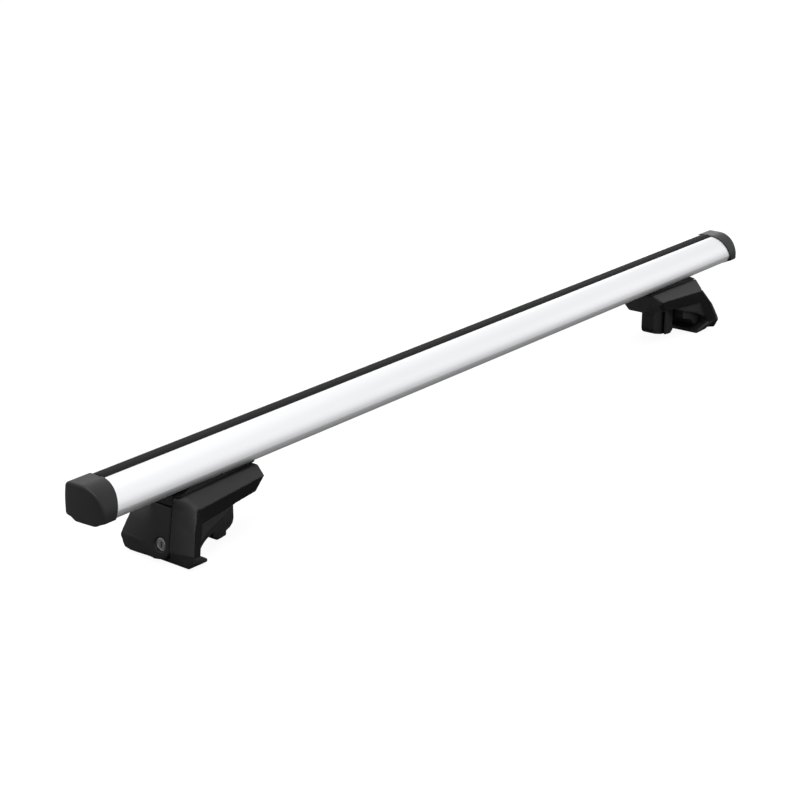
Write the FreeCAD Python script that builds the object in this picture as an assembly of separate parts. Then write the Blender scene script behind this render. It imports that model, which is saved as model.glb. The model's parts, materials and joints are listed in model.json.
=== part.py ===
import FreeCAD, Part
import math
import os

"""Roof rack crossbar for raised side rails, in millimetres, +Z up.

X runs along the bar with 0 at its middle, Y = 0 is the middle of the bar's width, Z = 0 is the underside of the feet.
Both ends are the same build, made at the -X end. For the +X end a foot is turned half a turn about Z, and a lid and
its plug are mirrored, as they follow the bar's section.
At an end, u points outward along the bar, v is Y and z is height. u = 0 is the bar's end for the lid and its plug, and
the foot's own middle for the pieces of a foot.
"""

os.makedirs("parts", exist_ok=True)

# Driving dimensions: bar
LENGTH = 1200.0
BAR_TOP = 109.0
BAR_BOTTOM = 72.2
BAR_HALF = 24.2
ARC_R = 27.3
ARC_V = 3.0
WALL = 2.2
STRIP_FRONT = 0.9
STRIP_WIDE = 16.4
STRIP_RISE = 2.0
SLOT_OPEN = 11.0
SLOT_WIDE = 18.0
SLOT_DEEP = 8.0
SEAT_DEEP = 1.8
LIP = 2.2
UNDER_OPEN = 11.0
UNDER_WIDE = 20.0
UNDER_LIP = 3.0
PORT_R = 1.9

# Driving dimensions: end lid and plug
LID_LONG = 27.0
RIM_LEAN = 0.32
CAP_PROUD = 1.2
CAP_WALL = 2.2
CAP_DRAFT = 1.3
CAP_BULGE_R = 220.0
HINGE_IN = 8.0
HINGE_UP = 1.4
KNUCKLE_R = 2.7
KNUCKLE_W = 13.0
PIN_R = 1.5
PIN_LONG = 30.0
PLUG_DEEP = 16.0
PLATE_T = 2.0
BOSS_R = 3.4
BOSS_H = 3.4

# Driving dimensions: foot
FOOT_INSET = 160.0
FACE_U = 57.4
FACE_TOP = 69.2
FACE_LEAN = 0.147
TOP_FALL = 0.015
SHOULDER_R = 5.6
SEAM_V = 14.1
COVER_TOP = 58.7
COVER_T = 4.5
SCREW_Z = 50.5
SCREW_R = 4.0
HEAD_R = 6.5
HEAD_H = 8.0
WASHER_T = 1.5
END_WALL = 6.5
NOSE_WALL = 8.65
CHANNEL_LONG = 82.0
CHANNEL_HALF = 18.4
JAW_W = 17.4
CHANNEL_TOP = 61.0
JAW_IN = -33.0
JAW_T = 37.6
PLATE_HALF = 9.3
NUT_M8 = 6.5
NUT_M8_AF = 13.0
BOLT_R = 3.0
BOLT_HEAD = 5.6
BOLT_LONG = 12.0
BOLT_WIDE = 17.0
BOLT_SPAN = 62.0
BOLT_MID = -5.0
NUT_M6 = 5.0
NUT_M6_AF = 10.0
LOCK_V = -2.0
LOCK_Z = 18.3
LOCK_R = 6.8
LOCK_LONG = 6.5
CAM_R = 12.6
CAM_T = 1.6
KEEPER_T = 1.4
PAD_HALF = 30.5

# Clearances
GAP = 0.3
FIT = 0.05
SEAM = 0.35
SLIDE = 0.5
HEAD_GAP = 6.4

# Places that follow from them
ARC_Z = BAR_TOP - ARC_R + 0.1
SEAT_Z = BAR_TOP - SEAT_DEEP
SLOT_V = STRIP_FRONT + STRIP_WIDE / 2 + 0.1
CHAMBER_TOP = SEAT_Z - LIP
CHAMBER_LOW = CHAMBER_TOP - SLOT_DEEP
UNDER_Z = BAR_BOTTOM + UNDER_LIP
UNDER_TOP = UNDER_Z + SLOT_DEEP
HINGE_Z = BAR_BOTTOM + HINGE_UP
BIG = 100.0
PORTS = ((WALL + 5.4 - BAR_HALF, BAR_TOP - 17.0), (BAR_HALF - WALL - 3.0, BAR_TOP - 22.6))


def face_u(z):
    """The foot's leaning outer face."""
    return FACE_U + FACE_LEAN * (FACE_TOP - z)


def top_z(u):
    """The foot's top, which falls a little towards the outer face."""
    return FACE_TOP + TOP_FALL * (FACE_U - u)


HEAD_U = face_u(SCREW_Z) - COVER_T - HEAD_GAP - HEAD_H
WALL_OUT = HEAD_U - WASHER_T
CHANNEL_OUT = WALL_OUT - END_WALL
CHANNEL_IN = CHANNEL_OUT - CHANNEL_LONG
NOSE_U = CHANNEL_IN - NOSE_WALL
SEAT_BACK = FACE_U - 6.2
JAW_OUT = JAW_IN + JAW_T
PAD_IN = JAW_OUT + 8.4
NUT_U = JAW_IN + (JAW_T - NUT_M8) / 2
BOLT_U = (BOLT_MID - BOLT_SPAN / 2, BOLT_MID + BOLT_SPAN / 2)
LOCK_FRONT = face_u(LOCK_Z) - 0.9
CAM_U = LOCK_FRONT - LOCK_LONG - CAM_T

V = FreeCAD.Vector


def pt(u, v, z):
    return V(-u, v, z)


def polygon(points):
    return Part.Face(Part.makePolygon(points + [points[0]]))


def prism_uz(points, v0, v1):
    """A (u, z) outline, drawn out from v0 to v1."""
    face = polygon([pt(u, v0, z) for u, z in points])
    return face.extrude(V(0, v1 - v0, 0))


def prism_vz(points, u0, u1):
    """A (v, z) outline, drawn out from u0 to u1."""
    face = polygon([pt(u0, v, z) for v, z in points])
    return face.extrude(V(u0 - u1, 0, 0))


def prism_uv(points, z0, z1):
    """A (u, v) outline, drawn out from z0 to z1."""
    face = polygon([pt(u, v, z0) for u, v in points])
    return face.extrude(V(0, 0, z1 - z0))


def block(u0, u1, v0, v1, z0, z1):
    return Part.makeBox(u1 - u0, v1 - v0, z1 - z0, V(-u1, v0, z0))


def rod_u(radius, u0, u1, v, z):
    return Part.makeCylinder(radius, u1 - u0, pt(u1, v, z), V(1, 0, 0))


def rod_v(radius, v0, v1, u, z):
    return Part.makeCylinder(radius, v1 - v0, pt(u, v0, z), V(0, 1, 0))


def rod_z(radius, z0, z1, u, v):
    return Part.makeCylinder(radius, z1 - z0, pt(u, v, z0), V(0, 0, 1))


def hexagon_z(across, z0, z1, u, v):
    """A hexagonal prism standing on z0."""
    r = across / math.sqrt(3.0)
    angles = [math.radians(60.0 * k) for k in range(6)]
    outline = [(u + r * math.cos(a), v + r * math.sin(a)) for a in angles]
    return prism_uv(outline, z0, z1)


def line(a, b):
    return Part.makeLine(V(0, a[0], a[1]), V(0, b[0], b[1]))


def arc(a, m, b):
    """An arc through three (v, z) points in the plane of the bar's section."""
    return Part.Arc(V(0, a[0], a[1]), V(0, m[0], m[1]), V(0, b[0], b[1])).toShape()


def on_arc(radius, v):
    return (v, ARC_Z + math.sqrt(radius ** 2 - (v - ARC_V) ** 2))


def bar_outline():
    """The bar's outer section: one large front arc, an upright rear and tucked lower corners."""
    low = BAR_BOTTOM
    half = BAR_HALF
    front = ARC_V + 0.1 - ARC_R
    top = (STRIP_FRONT - 0.1, BAR_TOP)
    rear_top = (half - 4.6, BAR_TOP - 0.4)
    edges = [
        arc(top, on_arc(ARC_R, -16.0), (front, ARC_Z + 2.2)),
        arc((front, ARC_Z + 2.2), (2.4 - half, low + 6.1), (12.4 - half, low)),
        line((12.4 - half, low), (half - 12.4, low)),
        arc((half - 12.4, low), (half - 2.4, low + 6.1), (half, ARC_Z + 2.2)),
        line((half, ARC_Z + 2.2), (half, ARC_Z + 6.8)),
        arc((half, ARC_Z + 6.8), (half - 0.9, BAR_TOP - 13.0), (half - 2.9, BAR_TOP - 5.9)),
        arc((half - 2.9, BAR_TOP - 5.9), (half - 3.3, BAR_TOP - 2.4), rear_top),
        line(rear_top, (STRIP_FRONT + STRIP_WIDE + 0.3, BAR_TOP)),
        line((STRIP_FRONT + STRIP_WIDE + 0.3, BAR_TOP), top),
    ]
    return Part.Wire(edges)


def flat(v0, v1, z0, z1):
    """A rectangle in the plane of the bar's section."""
    return Part.Face(Part.makePolygon([V(0, v0, z0), V(0, v1, z0), V(0, v1, z1), V(0, v0, z1), V(0, v0, z0)]))


def disc(v, z, r):
    return Part.Face(Part.Wire(Part.makeCircle(r, V(0, v, z), V(1, 0, 0))))


def bar_hollow(play):
    """The hollow between the bar's outer wall and its two slots, ribs and screw ports, less some play."""
    hollow = Part.Face(bar_outline().makeOffset2D(-WALL - play))
    keep = [
        flat(SLOT_V - SLOT_WIDE / 2 - WALL - play, BIG, CHAMBER_LOW - 2.0 - play, BIG + BAR_TOP),
        flat(-UNDER_WIDE / 2 - WALL - play, UNDER_WIDE / 2 + WALL + play, 0.0, UNDER_TOP + 2.0 + play),
        flat(4.0 - play, 6.2 + play, UNDER_TOP, CHAMBER_LOW),
        disc(PORTS[0][0], PORTS[0][1], 2 * PORT_R + play),
        disc(PORTS[1][0], PORTS[1][1], 2 * PORT_R + play),
    ]
    for piece in keep:
        hollow = hollow.cut(piece)
    return hollow


def make_bar():
    """The extruded bar, with a T-slot on top, another below, and leaning ends."""
    section = Part.Face(bar_outline()).cut(bar_hollow(0.0))
    cuts = [
        flat(STRIP_FRONT, STRIP_FRONT + STRIP_WIDE + 0.1, SEAT_Z, BIG + BAR_TOP),
        flat(SLOT_V - SLOT_OPEN / 2, SLOT_V + SLOT_OPEN / 2, CHAMBER_TOP - 1.0, BIG + BAR_TOP),
        flat(SLOT_V - SLOT_WIDE / 2, SLOT_V + SLOT_WIDE / 2, CHAMBER_LOW, CHAMBER_TOP),
        flat(-UNDER_OPEN / 2, UNDER_OPEN / 2, 0.0, UNDER_Z + 1.0),
        flat(-UNDER_WIDE / 2, UNDER_WIDE / 2, UNDER_Z, UNDER_TOP),
        disc(PORTS[0][0], PORTS[0][1], PORT_R),
        disc(PORTS[1][0], PORTS[1][1], PORT_R),
    ]
    for piece in cuts:
        section = section.cut(piece)
    bar = section.extrude(V(LENGTH, 0, 0))
    bar.translate(V(-LENGTH / 2, 0, 0))
    return trim_ends(bar, 0.0)


def rim_u(z, shift):
    return RIM_LEAN * (BAR_TOP - z) - LID_LONG + shift


def beyond_rim(shift):
    """Everything outboard of the leaning plane where the bar stops."""
    high = BAR_TOP + BIG
    outline = [(rim_u(high, shift), high), (rim_u(0.0, shift), 0.0), (BIG, 0.0), (BIG, high)]
    return prism_uz(outline, -BIG, BIG)


def at_end(shape):
    """Puts a piece made about the bar's end in its place."""
    shape = shape.copy()
    shape.translate(V(-LENGTH / 2, 0, 0))
    return shape


def at_foot(shape):
    """Puts a piece made about the foot's middle in its place."""
    shape = shape.copy()
    shape.translate(V(FOOT_INSET - LENGTH / 2, 0, 0))
    return shape


def trim_ends(shape, shift):
    cutter = at_end(beyond_rim(shift))
    return shape.cut(cutter).cut(mirrored(cutter))


def mirrored(shape):
    """The shape's mirror image at the bar's other end."""
    return shape.mirror(V(0, 0, 0), V(1, 0, 0))


def turned(shape):
    """The same shape, half a turn round, at the bar's other end."""
    other = shape.copy()
    other.rotate(V(0, 0, 0), V(0, 0, 1), 180)
    return other


def make_strip():
    """The rubber strip: a flat-topped lip over the slot with a barbed stem in it."""
    half = SLOT_OPEN / 2 - 0.1
    barb = CHAMBER_TOP - 0.1
    front = STRIP_FRONT + 0.1
    rear = STRIP_FRONT + STRIP_WIDE
    outline = [
        (front, SEAT_Z),
        (front, BAR_TOP + 0.1),
        (front + 0.25 * STRIP_WIDE, BAR_TOP + STRIP_RISE),
        (rear - 0.15 * STRIP_WIDE, BAR_TOP + STRIP_RISE),
        (rear, BAR_TOP + 0.3),
        (rear, SEAT_Z),
        (SLOT_V + half, SEAT_Z),
        (SLOT_V + half, barb),
        (SLOT_V + half + 1.3, barb),
        (SLOT_V + half - 1.5, barb - 3.0),
        (SLOT_V + half - 2.4, barb - 3.0),
        (SLOT_V + half - 2.4, SEAT_Z),
        (SLOT_V - half + 2.4, SEAT_Z),
        (SLOT_V - half + 2.4, barb - 3.0),
        (SLOT_V - half + 1.5, barb - 3.0),
        (SLOT_V - half - 1.3, barb),
        (SLOT_V - half, barb),
        (SLOT_V - half, SEAT_Z),
    ]
    strip = prism_vz(outline, -LENGTH / 2, LENGTH / 2)
    return trim_ends(strip, -0.4)


def cap_outline(u, rise, inset):
    """The lid's section at u: the bar's stood proud, with a boxier foot and a shallow lobe; rise lifts its top."""
    r = ARC_R + CAP_PROUD
    top = ARC_Z + r + rise
    front = ARC_V - r
    rear = BAR_HALF + CAP_PROUD - 0.2
    low = BAR_BOTTOM - 1.0
    edges = [
        arc((ARC_V - 0.4, top), on_arc(r + 0.5 * rise, -16.5), (front, ARC_Z + 2.6)),
        line((front, ARC_Z + 2.6), (front, low + 7.2)),
        arc((front, low + 7.2), (front + 0.8, low + 5.6), (front + 2.3, low + 4.8)),
        line((front + 2.3, low + 4.8), (front + 7.2, low + 3.2)),
        line((front + 7.2, low + 3.2), (front + 14.1, low)),
        line((front + 14.1, low), (rear - 13.8, low)),
        line((rear - 13.8, low), (rear - 7.9, low + 2.6)),
        line((rear - 7.9, low + 2.6), (rear - 2.6, low + 3.7)),
        arc((rear - 2.6, low + 3.7), (rear - 0.8, low + 4.8), (rear, low + 7.1)),
        line((rear, low + 7.1), (rear, ARC_Z + 6.8)),
        arc((rear, ARC_Z + 6.8), (rear - 0.7, BAR_TOP - 12.0), (rear - 2.2, BAR_TOP - 4.6)),
        arc((rear - 2.2, BAR_TOP - 4.6), (rear - 3.3, top - 1.1), (rear - 5.8, top)),
        line((rear - 5.8, top), (ARC_V - 0.4, top)),
    ]
    wire = Part.Wire(edges)
    if inset:
        wire = wire.makeOffset2D(-inset)
    wire.translate(V(-u, 0, 0))
    return wire


def cap_form(inset):
    """The lid's solid form: its section at the rim drawn to that at the end, with the top a little lower there."""
    return Part.makeLoft([cap_outline(-30.0, CAP_DRAFT, inset), cap_outline(2.0, 0.0, inset)], True, True)


def make_lid():
    """The end lid: a shell that closes the bar's end and turns out and down on its hinge pin."""
    bulge = Part.makeCylinder(CAP_BULGE_R, 2 * BIG, pt(-CAP_BULGE_R, 14.0, 0.0))
    body = cap_form(0.0).common(beyond_rim(GAP)).common(bulge)
    core = cap_form(CAP_WALL)
    core.translate(V(CAP_WALL + 1.0, 0, 0))
    pin_half = PIN_LONG / 2
    core = core.cut(block(-BIG, BIG, -pin_half - 0.5, pin_half + 0.5, 0.0, HINGE_Z + KNUCKLE_R + 0.6))
    body = body.cut(core)
    half = KNUCKLE_W / 2 + GAP
    sweep = KNUCKLE_R + 0.8
    body = body.cut(rod_v(sweep, -half, half, -HINGE_IN, HINGE_Z))
    body = body.cut(block(-BIG, -HINGE_IN, -half, half, 0.0, HINGE_Z + sweep))
    body = body.cut(block(-BIG, sweep - HINGE_IN, -half, half, 0.0, HINGE_Z))
    body = body.cut(rod_v(PIN_R + FIT, -pin_half - 0.2, pin_half + 0.2, -HINGE_IN, HINGE_Z))
    return body


def make_plug():
    """The fixed plug: a leaning plate that closes the hollow section, legs into it, and the hinge tongue."""
    legs = [face.extrude(V(-BIG, 0, 0)) for face in bar_hollow(0.15).Faces if face.Area > 25.0]
    for leg in legs:
        leg.translate(V(BIG / 2, 0, 0))
    slab = beyond_rim(-PLUG_DEEP).cut(beyond_rim(0.0))
    legs = [leg.common(slab) for leg in legs]
    plate = Part.Face(bar_outline().makeOffset2D(-CAP_WALL + CAP_PROUD - 0.6)).extrude(V(BIG, 0, 0))
    plate = plate.common(beyond_rim(0.0).cut(beyond_rim(PLATE_T)))
    low = HINGE_Z + KNUCKLE_R + 4.0
    half = KNUCKLE_W / 2
    plate = plate.cut(block(-BIG, BIG, half, BIG, 0.0, low))
    plate = plate.cut(block(-BIG, BIG, -BIG, -half, 0.0, low))
    plate = plate.cut(block(-BIG, BIG, STRIP_FRONT, BIG, CHAMBER_LOW - 1.0, BIG + BAR_TOP))
    side = UNDER_OPEN / 2 - 0.15
    stem = block(-BIG, 0.0, -side, side, BAR_BOTTOM, UNDER_TOP).common(slab)
    tongue = prism_uz(
        [(rim_u(HINGE_Z + 2.9, 0.0), HINGE_Z + 2.9), (-HINGE_IN, HINGE_Z + KNUCKLE_R - 0.2),
         (-HINGE_IN, HINGE_Z - 1.6), (rim_u(HINGE_Z - 1.6, 0.0), HINGE_Z - 1.6)], -half, half)
    plug = plate
    for piece in legs + [stem, tongue, rod_v(KNUCKLE_R, -half, half, -HINGE_IN, HINGE_Z)]:
        plug = plug.fuse(piece)
    for v, z in PORTS:
        plug = plug.fuse(rod_u(BOSS_R, rim_u(z, -1.2), rim_u(z, BOSS_H), v, z).common(beyond_rim(0.0)))
        plug = plug.cut(rod_u(PORT_R + 0.2, -BIG, 0.0, v, z))
    plug = plug.cut(rod_v(PIN_R, -BIG, BIG, -HINGE_IN, HINGE_Z))
    return plug.removeSplitter()


def make_pin():
    return rod_v(PIN_R, -PIN_LONG / 2, PIN_LONG / 2, -HINGE_IN, HINGE_Z)


def make_plug_screws():
    """Two self-tapping screws that hold the plug in the bar's screw ports."""
    shapes = []
    for v, z in PORTS:
        top = rim_u(z, BOSS_H)
        head = rod_u(BOSS_R - 0.2, top, top + 2.2, v, z)
        shank = rod_u(PORT_R - FIT, top - PLUG_DEEP, top, v, z)
        slot = block(top + 1.2, top + 3.0, v - 0.5, v + 0.5, z - 2.4, z + 2.4)
        slot = slot.fuse(block(top + 1.2, top + 3.0, v - 2.4, v + 2.4, z - 0.5, z + 0.5))
        shapes.append(head.fuse(shank).cut(slot))
    return shapes


def patch(points):
    """A flat face where the points allow one, else the straight-ruled surface between its two long sides."""
    if len(points) != 4:
        return polygon(points)
    a, b, c, d = points
    normal = (b - a).cross(d - a)
    if abs(normal.dot(c - a)) < 1e-6 * normal.Length:
        return polygon(points)
    return Part.makeRuledSurface(Part.makeLine(a, b), Part.makeLine(d, c))


def closed(faces):
    shell = Part.Shell(faces)
    shell.sewShape()
    solid = Part.Solid(shell)
    if solid.Volume < 0:
        solid.reverse()
    return solid


def foot_points(s):
    """The corners of the foot's outer form on one side of it (s = -1 or +1; the cover's side is a little wider)."""
    wide = 1.8 if s > 0 else 0.0
    return {
        "T1": pt(NOSE_U, s * 21.4, top_z(NOSE_U)),
        "Ta": pt(FACE_U, s * (21.4 - SHOULDER_R), FACE_TOP),
        "Tb": pt(FACE_U - SHOULDER_R, s * 21.4, top_z(FACE_U - SHOULDER_R)),
        "C0": pt(NOSE_U + 4.4, s * 34.4, 63.1),
        "C1": pt(FACE_U - 11.7, s * 38.0, 57.8),
        "C2": pt(FACE_U + 1.6, s * (44.9 + 0.6 * wide), 38.5),
        "C3": pt(FACE_U + 9.1, s * (50.2 + wide), 17.7),
        "F0": pt(face_u(FACE_TOP), s * SEAM_V, FACE_TOP),
        "F1": pt(face_u(59.0), s * SEAM_V, 59.0),
        "F2": pt(face_u(38.5), s * SEAM_V, 38.5),
        "F3": pt(face_u(13.2), s * SEAM_V, 13.2),
        "B": pt(FACE_U + 3.8, s * 36.6, 0.0),
        "A0": pt(NOSE_U + 15.2, s * 31.3, 47.4),
        "A1": pt(NOSE_U + 43.5, s * 30.8, 44.2),
        "A2": pt(FACE_U - 16.6, s * 38.3, 42.6),
        "M": pt(FACE_U - 10.4, s * 42.0, 28.3),
        "A3": pt(FACE_U - 4.2, s * 45.7, 14.0),
        "H1": pt(FACE_U - 20.8, s * 38.9, 4.2),
        "H2": pt(FACE_U - 22.4, s * 37.2, 0.0),
        "N": pt(NOSE_U - 2.0, s * 12.8, 45.6),
    }


def shoulder(p, s):
    """The rounded shoulder between the outer face and the arm's top slope, with its arc on top."""
    half = SHOULDER_R * (1.0 - math.cos(math.radians(45.0)))
    u, v = FACE_U - half, abs(p["Tb"].y) - half
    rim = Part.Arc(p["Ta"], pt(u, s * v, top_z(u)), p["Tb"]).toShape()
    cone = Part.makeLoft([Part.Wire([rim]), Part.Vertex(p["C1"])], False, True)
    return cone.Faces, rim


def foot_form():
    """The foot's whole outer form: an arm under the bar, a splayed leg and a hook lip, with its facets."""
    a = foot_points(-1)
    b = foot_points(1)
    faces = []
    rims = []
    for p, s in ((a, -1), (b, 1)):
        cone, rim = shoulder(p, s)
        faces += cone
        rims.append(rim)
        faces.append(patch([p["T1"], p["Tb"], p["C1"], p["C0"]]))
        faces.append(polygon([p["Ta"], p["F1"], p["C1"]]))
        faces.append(patch([p["F1"], p["F2"], p["C2"], p["C1"]]))
        faces.append(patch([p["F2"], p["F3"], p["C3"], p["C2"]]))
        faces.append(polygon([p["F3"], p["C3"], p["B"]]))
        faces.append(patch([p["C0"], p["C1"], p["A2"], p["A1"]]))
        faces.append(polygon([p["C0"], p["A1"], p["A0"]]))
        faces.append(patch([p["C1"], p["C2"], p["M"], p["A2"]]))
        faces.append(patch([p["C2"], p["C3"], p["A3"], p["M"]]))
        faces.append(polygon([p["C3"], p["B"], p["H2"]]))
        faces.append(polygon([p["C3"], p["H2"], p["H1"]]))
        faces.append(polygon([p["C3"], p["H1"], p["A3"]]))
        faces.append(polygon([p["T1"], p["C0"], p["N"]]))
        faces.append(polygon([p["C0"], p["A0"], p["N"]]))
        faces.append(polygon([p["Ta"], p["F0"], p["F1"]]))
    across = [["A0", "A1"], ["A1", "A2"], ["N", "A0"], ["A3", "H1"], ["H1", "H2"],
              ["B", "H2"], ["T1", "N"], ["F3", "B"]]
    for one, two in across:
        faces.append(polygon([a[one], a[two], b[two], b[one]]))
    faces.append(polygon([a["A2"], a["M"], a["A3"], b["A3"], b["M"], b["A2"]]))
    faces.append(polygon([a["F0"], a["F1"], a["F2"], a["F3"], b["F3"], b["F2"], b["F1"], b["F0"]]))
    loop = [Part.makeLine(a["T1"], a["Tb"]), rims[0], Part.makeLine(a["Ta"], a["F0"]), Part.makeLine(a["F0"], b["F0"]),
            Part.makeLine(b["F0"], b["Ta"]), rims[1], Part.makeLine(b["Tb"], b["T1"]), Part.makeLine(b["T1"], a["T1"])]
    faces.append(Part.Face(Part.Wire(loop)))
    return closed(faces)


def cover_window(grow):
    """The cover's outline in (v, z), stood out by grow."""
    edge = SEAM - SEAM_V
    outline = [(edge, COVER_TOP), (edge, 12.0), (edge + 1.2, 8.6), (-9.4, 5.6), (-6.6, 4.3), (6.0, 2.3), (6.8, 3.0),
               (38.0, 2.6), (46.5, 4.3), (51.0, 13.0), (60.0, 22.0), (60.0, COVER_TOP)]
    wire = Part.makePolygon([pt(40.0, v, z) for v, z in outline + [outline[0]]])
    if grow:
        wire = wire.makeOffset2D(grow)
    return Part.Face(wire).extrude(V(-40.0, 0, 0))


def cover_skin(form, thick, grow):
    """The layer of the foot's outer side that belongs to the cover."""
    inner = form.copy()
    inner.translate(V(thick, 0, 0))
    skin = form.cut(inner)
    apron = prism_uz([(face_u(20.0), 20.0), (face_u(2.0), 2.0), (face_u(2.0) - thick - 0.4, 2.0),
                      (face_u(20.0) - thick, 20.0)], -SEAM_V, SEAM_V)
    z0, z1 = 2.0, 17.7
    wide = foot_points(1)["C3"]
    p = [pt(face_u(z0), SEAM_V, z0), wide + V(-1.1, -0.4, z0 - z1), wide, pt(face_u(z1), SEAM_V, z1)]
    q = [point + V(thick, 0, 0) for point in p]
    faces = [patch(p), patch(q)]
    for k in range(4):
        m = (k + 1) % 4
        faces.append(patch([p[k], p[m], q[m], q[k]]))
    return skin.fuse(apron).fuse(closed(faces)).common(cover_window(grow))


def lock_room():
    """Room behind the cover for the lock's boss and cam, backed by the rail seat pad, and for the screw's head."""
    reach = face_u(0.0)
    top = SCREW_Z - 14.0
    lock = block(CAM_U - 0.7, reach, 0.9 - SEAM_V, 15.0, 6.4, top)
    deep = block(SEAT_BACK + GAP, reach, 0.9 - SEAM_V, 15.0, 9.0, top)
    return lock.fuse(deep).fuse(block(WALL_OUT, reach, -11.0, 11.0, SCREW_Z - 10.0, BIG))


def keeper(play):
    """The plate that the lock's cam turns in behind."""
    u0 = CAM_U + CAM_T + 0.5
    return block(u0 - play, u0 + KEEPER_T + play, LOCK_V + LOCK_R + 3.0, 22.0 + play, 12.4 - play, 21.2 + play)


def rail_web():
    """The web under the arm that carries the rail seat; it widens towards the leg."""
    web = prism_uz([(FACE_U - 66.4, 47.0), (FACE_U - 69.0, 43.6), (FACE_U - 48.4, 36.0), (FACE_U - 23.4, 28.5),
                    (FACE_U - 8.4, 20.6), (FACE_U - 5.4, 20.0), (FACE_U - 13.4, 47.0)], -BIG, BIG)
    knee, end = FACE_U - 16.4, FACE_U - 4.4
    plan = [(knee - 55.0, -29.8), (knee, -37.0), (end, -40.8), (end, 40.8), (knee, 37.0), (knee - 55.0, 29.8)]
    return web.common(prism_uv(plan, 0.0, BIG))


def make_housing(form):
    """The foot's body: the outer form with the jaw's channel, screw and bolt holes, and the cover's recess."""
    body = form.fuse(rail_web())
    body = body.cut(cover_skin(form, COVER_T + SEAM, SEAM))
    body = body.cut(block(FACE_U - 9.0, FACE_U + 9.0, -SEAM_V, 19.0, COVER_TOP + SEAM, BIG))
    low = SCREW_Z - NUT_M8_AF / 2 + 0.5
    body = body.cut(block(CHANNEL_IN, PAD_IN, -CHANNEL_HALF, CHANNEL_HALF, 0.0, CHANNEL_TOP))
    body = body.cut(block(JAW_OUT, CHANNEL_OUT, -CHANNEL_HALF, CHANNEL_HALF, low, CHANNEL_TOP))
    body = body.cut(rod_u(SCREW_R + 0.2, CHANNEL_OUT - 5.0, WALL_OUT + 5.0, 0.0, SCREW_Z))
    body = body.cut(lock_room()).cut(keeper(FIT))
    for u in BOLT_U:
        body = body.cut(rod_z(BOLT_R + 0.2, CHANNEL_TOP - 1.0, BIG, u, 0.0))
        body = body.cut(hexagon_z(NUT_M6_AF + 0.3, CHANNEL_TOP - 1.0, CHANNEL_TOP + NUT_M6 + 0.1, u, 0.0))
    rib = 2.4
    inner = CHANNEL_HALF + rib
    for s in (-1, 1):
        for k in range(2):
            u0 = CHANNEL_IN + 10.0 + 14.0 * k
            low_v, high_v = sorted((s * inner, s * (inner + 6.4)))
            body = body.cut(block(u0, u0 + 14.0 - rib, low_v, high_v, 0.0, 58.0))
    return body


def make_saddle():
    """The soft pad between the foot and the underside of the bar."""
    outline = [(NOSE_U - 4.4, -14.5), (NOSE_U - 4.4, 14.5), (FACE_U - 7.4, 20.2), (FACE_U - 2.4, 15.6),
               (FACE_U - 2.4, -15.6), (FACE_U - 7.4, -20.2)]
    pad = prism_uv(outline, 60.0, BAR_BOTTOM + 3.4)
    hull = Part.Face(bar_outline().makeOffset2D(GAP)).extrude(V(2 * BIG, 0, 0))
    hull.translate(V(-BIG, 0, 0))
    pad = pad.cut(hull).cut(block(-BIG, NOSE_U, -BIG, BIG, 0.0, top_z(NOSE_U)))
    base = prism_uz([(-BIG, top_z(-BIG)), (BIG, top_z(BIG)), (BIG, 0.0), (-BIG, 0.0)], -BIG, BIG)
    pad = pad.cut(base)
    for u in BOLT_U:
        pad = pad.cut(rod_z(BOLT_R + 0.3, 0.0, BIG, u, 0.0))
    return pad


def make_bolts():
    """Two T-head bolts whose heads run in the slot under the bar."""
    shapes = []
    neck_half = UNDER_OPEN / 2 - 0.6
    for u in BOLT_U:
        z = UNDER_Z + GAP
        head = block(u - BOLT_LONG / 2, u + BOLT_LONG / 2, -BOLT_WIDE / 2, BOLT_WIDE / 2, z, z + BOLT_HEAD)
        neck = block(u - neck_half, u + neck_half, -neck_half, neck_half, BAR_BOTTOM + 0.2, z)
        shank = rod_z(BOLT_R, CHANNEL_TOP + 0.3, z, u, 0.0)
        shapes.append(head.fuse(neck).fuse(shank))
    return shapes


def make_bolt_nuts():
    shapes = []
    for u in BOLT_U:
        nut = hexagon_z(NUT_M6_AF, CHANNEL_TOP + 0.1, CHANNEL_TOP + 0.1 + NUT_M6, u, 0.0)
        shapes.append(nut.cut(rod_z(BOLT_R + FIT, 0.0, BIG, u, 0.0)))
    return shapes


def make_seat_pad():
    """The rubber block that sits on the side rail, hollowed to the rail's round."""
    back = SEAT_BACK
    top = [(back - 43.2, 36.3), (back - 42.2, 35.98), (back - 17.2, 28.48), (back - 2.22, 20.59), (back, 18.2),
           (back - 2.2, 12.6), (back - 12.4, 11.0)]
    low = [(back - 31.8, 23.1), (back - 41.2, 25.6), (back - 43.2, 28.0), (back - 43.2, 36.3)]
    edges = [Part.makeLine(pt(a[0], 0, a[1]), pt(b[0], 0, b[1])) for run in (top, low) for a, b in zip(run, run[1:])]
    round_of_rail = Part.Arc(pt(back - 12.4, 0, 11.0), pt(back - 18.6, 0, 17.6), pt(back - 31.8, 0, 23.1))
    edges.insert(len(top) - 1, round_of_rail.toShape())
    pad = Part.Face(Part.Wire(edges)).extrude(V(0, 2 * PAD_HALF, 0))
    pad.translate(V(0, -PAD_HALF, 0))
    return pad.cut(block(-BIG, PAD_IN, -CHANNEL_HALF, CHANNEL_HALF, 0.0, BIG))


def make_cover(form):
    """The cover over the foot's outer side, with the lock's boss behind it."""
    cover = cover_skin(form, COVER_T, 0.0)
    boss = rod_u(LOCK_R + 2.0, CAM_U + CAM_T + 0.2, face_u(LOCK_Z) - 2.4, LOCK_V, LOCK_Z)
    cover = cover.fuse(boss)
    cover = cover.cut(rod_u(LOCK_R + FIT, 0.0, BIG, LOCK_V, LOCK_Z))
    return cover.removeSplitter()


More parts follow.
